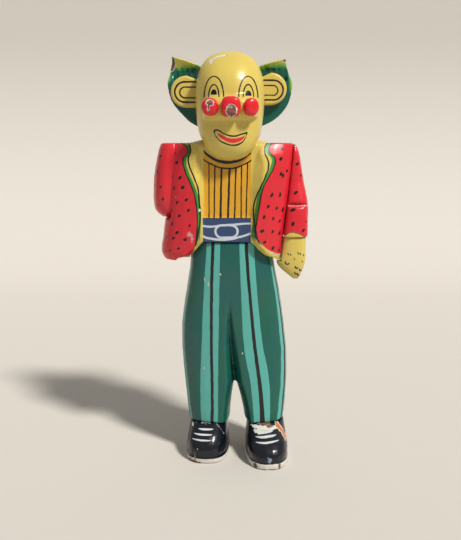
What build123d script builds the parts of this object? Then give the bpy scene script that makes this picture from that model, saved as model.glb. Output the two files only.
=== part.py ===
from build123d import *
from math import copysign, cos, pi, radians, sin, sqrt, tan
import os

os.makedirs("parts", exist_ok=True)

# Carved and painted wooden figure, one arm behind its back. Millimetres, floor at z = 0.
# The figure faces -Y, so its left hand is on +X. Blocks are glued on hidden dowels.

# heights, each from the end of the one before
shoe_height = 34.0  # floor to trouser hem
leg_length = 184.0  # hem to underside of belt
torso_height = 95.0  # underside of belt to shoulder
neck_rise = 3.0  # low mound that carries the head
chin_drop = 19.5  # chin below the head's seat
head_height = 102.0  # chin to crown

# torso
chest_y = -20.5  # flat of the painted shirt
back_y = 39.5
skirt_drop = 18.0  # jacket below the belt's underside
shirt_left, shirt_right = -25.5, 19.5
lapel_depth = 10.5  # from the shirt out past the foremost jacket edge
belt_height = 24.0
belt_relief = 1.2
right_seat_x = -57.0  # pared side under the right arm
ledge_rise = 22.5  # foot of that seat above the belt's underside
left_seat_x, left_seat_lean = 49.0, 6.0  # foot of the left arm's slanting seat, degrees

# arms and hands
left_arm_length = 89.5
left_cuff_rise = 4.5  # cuff above the belt's underside
crease_rise = 32.5  # elbow crease above the cuff
crease_depth = 4.5
left_hand_length = 42.0
forearm_reach = 41.0  # elbow to right cuff, behind the back
forearm_rise = 35.0  # middle of the forearm above the belt's underside
right_hand_length = 27.0

# legs and shoes
crotch_rise = 40.0  # top of the open gap above the hem
cleft_rise = 138.0  # top of the cleft between the legs above the hem
sole_thickness = 5.5
welt = 1.2
heel = 33.5
instep = 18.0  # front of the ankle ahead of the figure's middle
shoe_half_width = 20.4
right_toe, right_splay, right_shoe_x = 38.0, 5.0, -22.5
left_toe, left_splay, left_shoe_x = 53.5, -2.0, 36.0

# head, knobs, ears and hair
knob_rise = 48.5  # knob centres above the chin
nose_x, nose_width, nose_tall, nose_depth, nose_seat_y = 0.4, 17.9, 19.2, 9.5, -45.5
cheek_x, cheek_turn, cheek_seat_y, cheek_depth = 17.5, 24.0, -43.6, 8.0
right_cheek_width, left_cheek_width, cheek_tall = 16.2, 14.6, 16.6
peg_d, peg_length = 5.0, 8.0
ear_front_y, ear_thickness, ear_tall = 0.5, 8.0, 31.0
right_ear_reach, right_ear_rise = 57.9, 65.0
left_ear_reach, left_ear_rise = 54.5, 67.5
ear_tenon_tall, ear_tenon_x = 21.0, 27.0
hair_thickness, hair_tip_rise, hair_scoop = 18.0, 99.0, 5.0
hair_tenon_tall, hair_tenon_thick, hair_tenon_x = 24.0, 9.0, 17.0
hair_tenon_rise = 60.0

# fits
joint_gap = 0.3  # round a piece let into its neighbour
dowel_gap = 0.15
glue_room = 0.8  # past a dowel's end
neck_dowel_d, neck_dowel_length = 12.0, 46.0
waist_dowel_d, waist_dowel_length, waist_dowel_x = 10.0, 40.0, 16.0
shoulder_dowel_d, shoulder_dowel_length = 8.0, 24.0
wrist_dowel_d, wrist_dowel_length = 6.0, 22.0
ankle_dowel_d, ankle_dowel_length = 8.0, 30.0

hem_z = shoe_height
waist_z = hem_z + leg_length
skirt_z = waist_z - skirt_drop
shoulder_z = waist_z + torso_height
skirt_to_shoulder = shoulder_z - skirt_z
seat_z = shoulder_z + neck_rise
chin_z = seat_z - chin_drop
knob_z = chin_z + knob_rise
cleft_z = hem_z + cleft_rise
cuff_z = waist_z + left_cuff_rise
ledge_z = waist_z + ledge_rise
forearm_z = waist_z + forearm_rise


def ring(plane, left, right, front, back, fullness=2.2, flats=20):
    """Corners of knife flats laid round a superellipse; 2 is an oval, 3 nearly a block."""
    mx, my, hx, hy = (left + right) / 2, (front + back) / 2, (right - left) / 2, (back - front) / 2
    corners = []
    for k in range(flats):
        c, s = cos(2 * pi * (k + 0.5) / flats), sin(2 * pi * (k + 0.5) / flats)
        x = mx + hx * copysign(abs(c) ** (2 / fullness), c)
        y = my + hy * copysign(abs(s) ** (2 / fullness), s)
        corners.append(plane.from_local_coords((x, y, 0)))
    return corners


def eased(rows, steps=2):
    """Rows with others worked in between them, on the smooth curve through them."""

    def slope(i, k):
        before, after = rows[max(i - 1, 0)], rows[min(i + 1, len(rows) - 1)]
        return (after[k] - before[k]) / (after[0] - before[0])

    smooth = []
    for i, (low, high) in enumerate(zip(rows, rows[1:])):
        run = high[0] - low[0]
        for step in range(steps):
            t = step / steps
            a, b = 2 * t**3 - 3 * t**2 + 1, (t**3 - 2 * t**2 + t) * run
            c, d = 3 * t**2 - 2 * t**3, (t**3 - t**2) * run
            worked = [
                a * low[k] + b * slope(i, k) + c * high[k] + d * slope(i + 1, k)
                for k in range(1, len(low))
            ]
            smooth.append((low[0] + t * run, *worked))
    return [*smooth, rows[-1]]


def slices(plane, length, rows, fullness=2.2, flats=20, grow=0.0):
    """Slices of a carved form: each row is share of the length, left, right, front, back."""
    return [
        ring(
            plane.offset(length * share),
            left - grow, right + grow, front - grow, back + grow, fullness, flats,
        )
        for share, left, right, front, back in rows
    ]


def hewn(sections):
    """Solid between sections of equally many corners, in the flat facets that a knife leaves."""
    facets = [Face(Wire.make_polygon(section)) for section in (sections[0], sections[-1])]
    for low, high in zip(sections, sections[1:]):
        for k in range(len(low)):
            facets.append(Face(Wire.make_polygon([low[k - 1], low[k], high[k]])))
            facets.append(Face(Wire.make_polygon([low[k - 1], high[k], high[k - 1]])))
    return Solid(Shell(facets))


def bore(joint, diameter, length):
    """Blind hole for a dowel, centred on its joint."""
    with Locations(joint):
        Cylinder(diameter / 2 + dowel_gap, length + 2 * glue_room, mode=Mode.SUBTRACT)


# Seats and joints: each dowel is centred on its joint, along the joint's normal
lean = radians(left_seat_lean)
left_seat = Plane(origin=(left_seat_x, 0, skirt_z), x_dir=(0, 1, 0), z_dir=(cos(lean), 0, -sin(lean)))


def left_seat_at(z):
    """X of the left arm's seat at a height."""
    return left_seat_x + (z - skirt_z) * tan(lean)


neck_joint = Plane(origin=(0, -2, seat_z))
waist_joints = [Plane(origin=(x, 8, waist_z)) for x in (-waist_dowel_x, waist_dowel_x)]
right_shoulder_joint = Plane(origin=(right_seat_x + 3, 11, shoulder_z - 27), z_dir=(1, 0, 0))
left_shoulder_z = shoulder_z - 37
left_shoulder_joint = Plane(origin=(left_seat_at(left_shoulder_z) - 4, 6, left_shoulder_z), z_dir=left_seat.z_dir)
left_wrist_joint = Plane(origin=(63.5, -8, cuff_z))
right_cuff_x = right_seat_x - 14 + forearm_reach
right_wrist_joint = Plane(origin=(right_cuff_x, back_y + 8, forearm_z), z_dir=(1, 0, 0))
ankle_joints = {"right": Plane(origin=(right_shoe_x, 8, hem_z)), "left": Plane(origin=(left_shoe_x, 8, hem_z))}

# Trousers: one block, cleft between the legs from both sides and sawn right through below the crotch
crotch_z = hem_z + crotch_rise
trouser_rows = eased([
    (0.0, -42.6, 54.4, -17.6, 33.6),
    (0.05, -43.7, 55.4, -18.0, 33.9),
    (0.12, -44.9, 56.4, -18.4, 34.2),
    (0.26, -47.3, 57.5, -19.2, 34.8),
    (0.40, -49.2, 56.9, -19.8, 35.4),
    (0.55, -49.2, 53.9, -20.4, 36.0),
    (0.70, -45.2, 49.9, -20.8, 36.5),
    (0.86, -40.7, 44.2, -21.0, 36.5),
    (1.0, -38.1, 40.6, -20.0, 35.5),
])
trouser_fullness, trouser_flats = 3.0, 32
trouser_mid_y = 8.0
# share of the crotch's height above the hem, middle, half gap between the legs
gap_rows = [(-0.03, 7.0, 7.4), (0.25, 6.4, 6.3), (0.6, 5.6, 4.0), (0.9, 4.8, 1.4), (1.0, 4.6, 0.4)]
# share of the way from crotch to the cleft's top, middle, depth left to the mid plane, half width
cleft_rows = [
    (-0.02, 4.6, 0.0, 13.0),
    (0.2, 2.5, 7.0, 12.5),
    (0.45, 0.0, 14.5, 11.0),
    (0.7, -1.2, 21.5, 8.0),
    (0.9, -1.5, 26.5, 5.0),
    (1.0, -1.6, 28.5, 3.0),
]
lobe = [(t, 1 - sqrt(1 - 0.95 * t * t)) for t in (0, 0.35, 0.6, 0.8, 0.93, 1.0)]
lobe_depth = 17.0  # how far the gap's mouth opens
cleft_reach = 31.0  # clear of the front and the back


def gap_section(share, middle, half_gap):
    """Hourglass between two round legs."""
    side = [(half_gap + lobe_depth * bulge, t * cleft_reach) for t, bulge in lobe]
    round_it = [(x, y) for x, y in side] + [(-x, y) for x, y in side[::-1]]
    round_it += [(-x, -y) for x, y in side[1:]] + [(x, -y) for x, y in side[:0:-1]]
    level = hem_z + crotch_rise * share
    return [Vector(middle + x, trouser_mid_y + y, level) for x, y in round_it]


def cleft_section(side, share, middle, floor, half_width):
    """Notch with round lips, cut in from the front (-1) or the back (1) down to its floor."""
    lip = [
        (half_width * bulge / lobe[-1][1], trouser_mid_y + side * (floor + (cleft_reach - floor) * t))
        for t, bulge in lobe
    ]
    level = crotch_z + (cleft_z - crotch_z) * share
    return [Vector(middle + x, y, level) for x, y in lip + [(-x, y) for x, y in lip[:0:-1]]]


def trouser_form(grow=0.0):
    return hewn(slices(
        Plane.XY.offset(hem_z), leg_length, trouser_rows, trouser_fullness, trouser_flats, grow,
    ))


with BuildPart() as trousers:
    add(trouser_form())
    add(hewn([gap_section(*row) for row in gap_rows]), mode=Mode.SUBTRACT)
    for side in (-1, 1):
        add(hewn([cleft_section(side, *row) for row in cleft_rows]), mode=Mode.SUBTRACT)
    for joint in waist_joints:
        bore(joint, waist_dowel_d, waist_dowel_length)
    for joint in ankle_joints.values():
        bore(joint, ankle_dowel_d, ankle_dowel_length)

# Torso: jacket, shirt and belt carved from one block
torso_rows = eased([
    (0.0, -65.0, 51.6, -25.5, 37.5),
    (0.07, -68.6, 52.6, -28.5, 39.0),
    (0.20, -66.7, 54.2, -30.0, 39.5),
    (0.36, -64.4, 55.9, -30.3, 39.5),
    (0.55, -63.0, 58.0, -30.0, 39.5),
    (0.75, -62.0, 60.4, -28.5, 39.0),
    (0.90, -60.5, 62.2, -25.5, 36.5),
    (1.0, -59.5, 63.2, -19.5, 31.0),
])
neck_rows = [(0.0, -45.0, 41.0, -18.5, 28.0), (1.0, -29.5, 28.5, -15.0, 22.0)]

waist_share = skirt_drop / skirt_to_shoulder
flap_undercut = 24.0  # behind the front of the belt, clear round the trousers
# Jacket edges from the shoulder to the hem, as (share of the height from the skirt up, x)
right_lining = eased([
    (1.03, -33.0), (0.93, -30.0), (0.86, -28.0), (0.62, shirt_left), (0.25, shirt_left),
    (0.155, shirt_left - 3.5), (0.05, shirt_left - 13.0), (0.02, shirt_left - 26.5),
])
right_edge = eased([
    (1.03, -47.8), (0.93, -40.5), (0.86, -43.4), (0.62, -34.1), (0.25, -31.1),
    (0.155, -34.5), (0.05, -48.4), (0.02, -64.0),
])
left_lining = eased([
    (1.03, 31.0), (0.93, 26.0), (0.86, 22.5), (0.62, shirt_right), (0.25, shirt_right),
    (0.15, shirt_right + 2.0), (0.05, shirt_right + 13.5), (0.02, shirt_right + 24.5),
])
left_edge = eased([
    (1.03, 45.8), (0.93, 36.5), (0.84, 40.5), (0.62, 33.0), (0.27, 24.2),
    (0.17, 27.5), (0.05, 46.6), (0.02, 57.0),
])


def opening(y, right_side, left_side):
    """Corners of the front opening at one depth, closed above the shoulder and under the hem."""
    around = [(x, skirt_z + share * skirt_to_shoulder) for share, x in right_side]
    around += [(right_side[-1][1], skirt_z - 5), (left_side[-1][1], skirt_z - 5)]
    around += [(x, skirt_z + share * skirt_to_shoulder) for share, x in reversed(left_side)]
    return [Vector(x, y, z) for x, z in around]


def below_waist(edge, waist_x):
    return [(waist_share, waist_x), *[(share, x) for share, x in edge if share < waist_share - 0.01]]


with BuildPart() as torso:
    add(hewn(slices(Plane.XY.offset(skirt_z), skirt_to_shoulder, torso_rows, fullness=3.1, flats=28)))
    add(hewn(slices(Plane.XY.offset(shoulder_z - 1), neck_rise + 1, neck_rows)))
    front_opening = hewn([
        opening(chest_y, right_lining, left_lining),
        opening(chest_y - lapel_depth, right_edge, left_edge),
    ])
    add(front_opening, mode=Mode.SUBTRACT)
    under_belt = below_waist(right_lining, shirt_left - 1.5), below_waist(left_lining, shirt_right + 1)
    add(
        hewn([opening(chest_y - 1, *under_belt), opening(chest_y - 1 + flap_undercut, *under_belt)]),
        mode=Mode.SUBTRACT,
    )
    with Locations(((shirt_left + shirt_right) / 2, chest_y - belt_relief, waist_z)):
        Box(
            shirt_right - shirt_left + 2, belt_relief + 6, belt_height,
            align=(Align.CENTER, Align.MIN, Align.MIN),
        )
    with Locations((right_seat_x, 0, ledge_z)):
        Box(60, 200, 200, align=(Align.MAX, Align.CENTER, Align.MIN), mode=Mode.SUBTRACT)
    split(bisect_by=left_seat, keep=Keep.BOTTOM)
    add(trouser_form(joint_gap), mode=Mode.SUBTRACT)
    bore(neck_joint, neck_dowel_d, neck_dowel_length)
    bore(right_shoulder_joint, shoulder_dowel_d, shoulder_dowel_length)
    bore(left_shoulder_joint, shoulder_dowel_d, shoulder_dowel_length)
    for joint in waist_joints:
        bore(joint, waist_dowel_d, waist_dowel_length)

# Left arm: sleeve with a carved elbow crease, hand let in under the cuff
left_arm_rows = eased([
    (0.0, 48.7, 75.4, -21.5, 5.0),
    (0.20, 50.5, 75.8, -21.0, 9.0),
    (0.40, 52.0, 75.4, -18.5, 14.0),
    (0.60, 54.0, 71.6, -14.0, 21.0),
    (0.80, 56.0, 69.0, -12.5, 23.0),
    (0.93, 57.5, 66.2, -11.0, 22.0),
    (1.0, 58.5, 63.2, -8.0, 19.0),
])
crease_z = cuff_z + crease_rise
crease_front = -18.5  # face of the sleeve at the crease
with BuildPart() as left_arm:
    add(hewn(slices(Plane.XY.offset(cuff_z), left_arm_length, left_arm_rows, fullness=2.8)))
    split(bisect_by=left_seat, keep=Keep.TOP)
    with BuildSketch(Plane.YZ.offset(left_seat_x - 5)):
        Polygon(
            (crease_front + crease_depth, crease_z),
            (crease_front - 8, crease_z + 3),
            (crease_front - 8, crease_z - 9),
            align=None,
        )
    extrude(amount=50, mode=Mode.SUBTRACT)
    bore(left_shoulder_joint, shoulder_dowel_d, shoulder_dowel_length)
    bore(left_wrist_joint, wrist_dowel_d, wrist_dowel_length)

left_hand_rows = eased([
    (0.0, 61.5, 67.0, -9.0, -3.0),
    (0.10, 56.5, 69.0, -13.5, 0.5),
    (0.24, 49.5, 71.5, -16.0, 2.0),
    (0.40, 45.0, 73.4, -17.5, 3.0),
    (0.60, 47.5, 74.0, -18.5, 3.5),
    (1.0, 50.0, 74.2, -19.5, 3.5),
])
with BuildPart() as left_hand:
    add(hewn(slices(
        Plane.XY.offset(cuff_z - left_hand_length), left_hand_length, left_hand_rows, fullness=2.6,
    )))
    with Locations(left_seat.offset(joint_gap)):
        with Locations((0, -5 * joint_gap, 0)):
            Box(100, 100, 40, align=(Align.CENTER, Align.MIN, Align.MAX), mode=Mode.SUBTRACT)
    bore(left_wrist_joint, wrist_dowel_d, wrist_dowel_length)

# Right arm: upper arm on the pared side, forearm bent flat behind the back
right_arm_rows = eased([
    (0.0, -67.0, -47.0, -4.0, 26.0),
    (0.05, -71.5, -45.0, -11.5, 31.0),
    (0.12, -75.0, -44.0, -15.5, 34.0),
    (0.28, -76.1, -44.0, -17.5, 36.5),
    (0.55, -75.2, -44.0, -17.5, 36.0),
    (0.78, -72.4, -44.0, -17.0, 33.0),
    (0.93, -69.6, -44.0, -15.0, 28.0),
    (1.0, -67.5, -44.0, -12.5, 24.0),
])
# along +X from the elbow: front, back, bottom and top of the forearm
forearm_rows = eased([
    (0.0, 18.0, 44.0, -11.0, 17.0),
    (0.2, 24.0, 54.0, -11.4, 17.0),
    (0.5, 35.0, 56.5, -12.5, 14.5),
    (1.0, 36.0, 56.0, -11.5, 11.5),
])
elbow_x = right_cuff_x - forearm_reach
behind_back = Plane(origin=(elbow_x, 0, forearm_z), x_dir=(0, 1, 0), z_dir=(1, 0, 0))
with BuildPart() as right_arm:
    arm_foot_z = ledge_z + joint_gap
    add(hewn(slices(
        Plane.XY.offset(arm_foot_z), shoulder_z - arm_foot_z, right_arm_rows, fullness=2.6,
    )))
    add(hewn(slices(behind_back, forearm_reach, forearm_rows, fullness=2.6)))
    with Locations((right_seat_x, back_y + joint_gap, 0)):
        Box(100, 100, 400, align=(Align.MIN, Align.MAX, Align.MIN), mode=Mode.SUBTRACT)
    bore(right_shoulder_joint, shoulder_dowel_d, shoulder_dowel_length)
    bore(right_wrist_joint, wrist_dowel_d, wrist_dowel_length)

right_hand_rows = eased([
    (0.0, 37.0, 54.5, -10.0, 10.0),
    (0.4, 37.0, 54.0, -12.0, 11.0),
    (0.8, 38.0, 51.0, -11.0, 9.5),
    (1.0, 39.0, 47.0, -6.5, 5.5),
])
with BuildPart() as right_hand:
    add(hewn(slices(
        behind_back.offset(forearm_reach), right_hand_length, right_hand_rows, fullness=2.6,
    )))
    with Locations((right_cuff_x - 5, back_y + joint_gap, 0)):
        Box(100, 100, 400, align=(Align.MIN, Align.MAX, Align.MIN), mode=Mode.SUBTRACT)
    bore(right_wrist_joint, wrist_dowel_d, wrist_dowel_length)

# Head: egg whose chin hangs in front of the collar, with a ledge that carries the knobs
head_rows = eased([
    (0.0, -8.0, 7.0, -27.0, -15.0),
    (0.029, -15.5, 14.5, -33.0, -8.0),
    (0.073, -21.0, 20.0, -37.3, -1.5),
    (0.13, -25.0, 24.2, -40.0, 5.0),
    (0.19, -28.0, 27.2, -41.5, 11.0),
    (0.29, -31.0, 30.0, -42.5, 20.0),
    (0.46, -33.3, 32.3, -42.5, 29.0),
    (0.60, -33.6, 32.6, -41.5, 31.0),
    (0.74, -32.4, 31.4, -38.0, 28.0),
    (0.855, -28.6, 27.6, -31.0, 20.5),
    (0.93, -22.8, 21.8, -24.0, 13.0),
    (0.975, -15.6, 14.6, -16.5, 6.0),
    (0.994, -9.0, 8.0, -11.0, -0.5),
    (1.0, -5.0, 4.0, -8.5, -3.5),
])
head_flats = 28
# about the knobs' height: level above it, left, right, front, back
ledge_rows = eased([
    (-10.2, -25.0, 24.5, -44.5, -10.0),
    (-8.5, -26.0, 25.5, -46.8, -10.0),
    (-3.0, -26.0, 25.5, -47.5, -10.0),
    (5.0, -25.0, 24.5, -46.5, -10.0),
    (13.0, -22.0, 21.5, -40.5, -10.0),
])


def outward(x, y, z, turn):
    """Seat on the face: its normal points out to the front, turned towards +X by the angle."""
    a = radians(turn)
    return Plane(origin=(x, y, z), x_dir=(cos(a), sin(a), 0), z_dir=(sin(a), -cos(a), 0))


nose_seat = outward(nose_x, nose_seat_y, knob_z, 0)
right_cheek_seat = outward(-cheek_x, cheek_seat_y, knob_z, -cheek_turn)
left_cheek_seat = outward(cheek_x, cheek_seat_y, knob_z, cheek_turn)
knobs = {
    "nose_knob": (nose_seat, nose_width, nose_tall, nose_depth, 3.1),
    "right_cheek_knob": (right_cheek_seat, right_cheek_width, cheek_tall, cheek_depth, 2.0),
    "left_cheek_knob": (left_cheek_seat, left_cheek_width, cheek_tall, cheek_depth, 2.0),
}

right_ear_z, left_ear_z = chin_z + right_ear_rise, chin_z + left_ear_rise
hair_z = chin_z + hair_tenon_rise
hair_y = ear_front_y + ear_thickness + hair_thickness / 2
ear_mid_y = ear_front_y + ear_thickness / 2


def head_form(grow=0.0):
    return hewn(slices(Plane.XY.offset(chin_z), head_height, head_rows, flats=head_flats, grow=grow))


def outline(corners):
    """Face with these corners."""
    return Face(Wire.make_polygon(corners))


with BuildPart() as head:
    add(head_form())
    add(hewn(slices(Plane.XY.offset(knob_z), 1.0, ledge_rows, fullness=2.8)))
    with Locations((0, chest_y - joint_gap, seat_z)):
        Box(100, 100, 40, align=(Align.CENTER, Align.MIN, Align.MAX), mode=Mode.SUBTRACT)
    for seat, width, tall, depth, fullness in knobs.values():
        pocket = ring(
            seat, -width / 2 - joint_gap, width / 2 + joint_gap,
            -tall / 2 - joint_gap, tall / 2 + joint_gap, fullness, 16,
        )
        extrude(outline(pocket), amount=depth, mode=Mode.SUBTRACT)
        with Locations(seat):
            Cylinder(
                peg_d / 2 + dowel_gap, peg_length + glue_room,
                align=(Align.CENTER, Align.CENTER, Align.MAX), mode=Mode.SUBTRACT,
            )
    for side, ear_z in ((-1, right_ear_z), (1, left_ear_z)):
        with Locations((side * (ear_tenon_x + 20), ear_mid_y, ear_z)):
            Box(40, ear_thickness + 2 * joint_gap, ear_tenon_tall + 2 * joint_gap, mode=Mode.SUBTRACT)
        with Locations((side * (hair_tenon_x + 20), hair_y, hair_z)):
            Box(40, hair_tenon_thick + 2 * joint_gap, hair_tenon_tall + 2 * joint_gap, mode=Mode.SUBTRACT)
    bore(neck_joint, neck_dowel_d, neck_dowel_length)

# Knobs: domed buttons, each cut with the peg that holds it
# share of the depth, share of the half width and height
dome = [(0.0, 1.0), (0.5, 1.0), (0.72, 0.94), (0.88, 0.8), (0.97, 0.58), (1.0, 0.4)]
knob_nodes = {}
for name, (seat, width, tall, depth, fullness) in knobs.items():
    dome_rows = [
        (share, -width / 2 * part, width / 2 * part, -tall / 2 * part, tall / 2 * part)
        for share, part in dome
    ]
    with BuildPart() as knob:
        add(hewn(slices(seat, depth, dome_rows, fullness, flats=16)))
        with Locations(seat):
            Cylinder(peg_d / 2, peg_length, align=(Align.CENTER, Align.CENTER, Align.MAX))
    knob_nodes[name] = knob

# Ears: flat paddles facing the front, tenoned into the sides of the head
ear_bevel = 1.6


def ear_outline(y, side, reach, ear_z, bevel):
    """Corners of a paddle at one depth, drawn in by the bevel."""
    r = ear_tall / 2 - bevel
    bend, inner = reach - ear_tall / 2, ear_tenon_x - 2
    arc = [(bend + r * sin(pi * k / 12), -r * cos(pi * k / 12)) for k in range(13)]
    return [
        Vector(side * x, y, ear_z + z) for x, z in [(inner, -r), *arc, (inner, r - ear_tall / 5)]
    ]


ear_nodes = {}
for name, side, reach, ear_z in (
    ("right_ear", -1, right_ear_reach, right_ear_z),
    ("left_ear", 1, left_ear_reach, left_ear_z),
):
    with BuildPart() as ear:
        add(hewn([
            ear_outline(ear_front_y, side, reach, ear_z, ear_bevel),
            ear_outline(ear_front_y + ear_bevel, side, reach, ear_z, 0),
            ear_outline(ear_front_y + ear_thickness, side, reach, ear_z, 0),
        ]))
        add(head_form(joint_gap), mode=Mode.SUBTRACT)
        with Locations((side * ear_tenon_x, ear_mid_y, ear_z)):
            Box(
                reach - ear_tall / 2 - ear_tenon_x, ear_thickness, ear_tenon_tall,
                align=(Align.MIN if side > 0 else Align.MAX, Align.CENTER, Align.CENTER),
            )
    ear_nodes[name] = ear


def hair_outline(y, side, outer, rim, inset):
    """Corners of one tuft at a depth; the outer curve draws in by the inset towards the back."""

    def drawn(points):
        return [(x - inset * min(1, (x - hair_tenon_x) / 20), rise) for rise, x in eased(points, 3)]

    curve = drawn(outer)[:-1] + [(x, rise) for x, rise in drawn(rim)]
    return [Vector(side * x, y, chin_z + rise) for x, rise in curve]


# Hair: a swept-up tuft behind each ear, scooped and fluted under its top rim
hair_nodes = {}
hair_front_y = ear_front_y + ear_thickness
flute_d, flute_depth, flute_tall = 4.4, 1.1, 15.0
for name, side, outer, rim in (
    (
        "right_hair", -1,
        [(29.5, hair_tenon_x), (32.0, 32.8), (42.5, 46.6), (57.5, 58.4), (79.5, 61.6), (hair_tip_rise, 57.6)],
        [(hair_tip_rise, 57.6), (95.0, 44.0), (90.0, 30.4), (84.0, hair_tenon_x)],
    ),
    (
        "left_hair", 1,
        [(29.5, hair_tenon_x), (32.5, 31.8), (41.0, 46.6), (55.0, 57.2), (76.5, 60.4), (hair_tip_rise - 2.5, 54.5)],
        [(hair_tip_rise - 2.5, 54.5), (94.3, 42.9), (89.5, 28.5), (84.0, hair_tenon_x)],
    ),
):
    scoop = Plane(
        origin=(side * 44, hair_front_y + hair_scoop - 16, chin_z + 83),
        x_dir=(0, 1, 0), z_dir=(side * cos(radians(17)), 0, sin(radians(17))),
    )
    with BuildPart() as hair:
        add(hewn([
            hair_outline(hair_front_y, side, outer, rim, 0),
            hair_outline(hair_front_y + hair_thickness, side, outer, rim, 7),
        ]))
        with Locations(scoop):
            Cylinder(16, 80, mode=Mode.SUBTRACT)
        for x in (36, 41.5, 47, 52.5):
            fluted = (side * x, hair_front_y + hair_scoop + flute_depth - flute_d / 2, chin_z + 80)
            with Locations(fluted):
                Cylinder(flute_d / 2, flute_tall, mode=Mode.SUBTRACT)
        add(head_form(joint_gap), mode=Mode.SUBTRACT)
        with Locations((side * hair_tenon_x, hair_y, hair_z)):
            Box(
                18, hair_tenon_thick, hair_tenon_tall,
                align=(Align.MIN if side > 0 else Align.MAX, Align.CENTER, Align.CENTER),
            )
    hair_nodes[name] = hair

# Shoes: high insteps run up to the trouser hems, flat soles with a welt
shoe_nodes = {}
for name, x, toe, splay in (
    ("right_shoe", right_shoe_x, right_toe, -right_splay),
    ("left_shoe", left_shoe_x, left_toe, -left_splay),
):
    ground = Plane(origin=(x, 0, 0)).rotated((0, 0, splay))
    run = toe - instep
    half = shoe_half_width
    upper = eased([
        (0.0, -half, half, -instep - 0.95 * run, heel - 1.0),
        (0.2, -half - 0.8, half + 0.8, -instep - 0.98 * run, heel - 0.5),
        (0.45, -half - 0.4, half + 0.4, -instep - 0.88 * run, heel - 0.3),
        (0.7, -half + 0.6, half - 0.6, -instep - 0.60 * run, heel),
        (0.87, -half + 1.2, half - 1.2, -instep - 0.26 * run, heel),
        (1.0, -half + 1.2, half - 1.2, -instep, heel),
    ])
    with BuildPart() as shoe:
        extrude(
            outline(ring(ground, -half - welt, half + welt, -toe, heel + 0.2, 2.7, 28)),
            amount=sole_thickness,
        )
        upper_z = sole_thickness - 0.5
        add(hewn(slices(
            ground.offset(upper_z), shoe_height - upper_z, upper, fullness=2.6, flats=28,
        )))
        bore(ankle_joints[name.split("_")[0]], ankle_dowel_d, ankle_dowel_length)
    shoe_nodes[name] = shoe

# Dowels
dowels = {
    "neck_dowel": (neck_joint, neck_dowel_d, neck_dowel_length),
    "right_waist_dowel": (waist_joints[0], waist_dowel_d, waist_dowel_length),
    "left_waist_dowel": (waist_joints[1], waist_dowel_d, waist_dowel_length),
    "right_shoulder_dowel": (right_shoulder_joint, shoulder_dowel_d, shoulder_dowel_length),
    "left_shoulder_dowel": (left_shoulder_joint, shoulder_dowel_d, shoulder_dowel_length),
    "right_wrist_dowel": (right_wrist_joint, wrist_dowel_d, wrist_dowel_length),
    "left_wrist_dowel": (left_wrist_joint, wrist_dowel_d, wrist_dowel_length),
    "right_ankle_dowel": (ankle_joints["right"], ankle_dowel_d, ankle_dowel_length),
    "left_ankle_dowel": (ankle_joints["left"], ankle_dowel_d, ankle_dowel_length),
}
dowel_nodes = {}
for name, (joint, diameter, length) in dowels.items():
    with BuildPart() as pin:
        with Locations(joint):
            Cylinder(diameter / 2, length)
    dowel_nodes[name] = pin

nodes = {
    "head": head,
    "torso": torso,
    "trousers": trousers,
    "right_arm": right_arm,
    "left_arm": left_arm,
    "right_hand": right_hand,
    "left_hand": left_hand,
    **knob_nodes, **ear_nodes, **hair_nodes, **shoe_nodes, **dowel_nodes,
}
for name, node in nodes.items():
    node.part.label = name
    export_step(node.part, f"parts/{name}.step")
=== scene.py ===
from math import cos, radians, sin

import bmesh
import bpy
import numpy as np
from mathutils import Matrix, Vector, noise


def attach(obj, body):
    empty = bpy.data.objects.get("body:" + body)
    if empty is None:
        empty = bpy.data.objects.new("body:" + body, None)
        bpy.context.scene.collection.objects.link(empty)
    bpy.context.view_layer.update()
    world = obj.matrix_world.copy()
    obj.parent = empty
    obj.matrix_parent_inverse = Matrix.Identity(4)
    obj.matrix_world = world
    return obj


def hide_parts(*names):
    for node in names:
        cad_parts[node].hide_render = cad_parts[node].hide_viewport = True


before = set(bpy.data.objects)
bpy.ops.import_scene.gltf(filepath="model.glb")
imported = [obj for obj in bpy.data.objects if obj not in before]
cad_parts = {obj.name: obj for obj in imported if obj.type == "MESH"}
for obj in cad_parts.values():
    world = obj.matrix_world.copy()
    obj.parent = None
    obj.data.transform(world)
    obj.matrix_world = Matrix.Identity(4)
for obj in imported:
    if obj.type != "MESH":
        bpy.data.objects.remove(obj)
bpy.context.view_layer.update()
MM = 0.001

# ---------------------------------------------------------------- trousers
# Both legs in one block of soft wood, carved round and split below the crotch, rubbed down
# under a white ground, then striped from top to bottom with a small flat brush.


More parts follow.
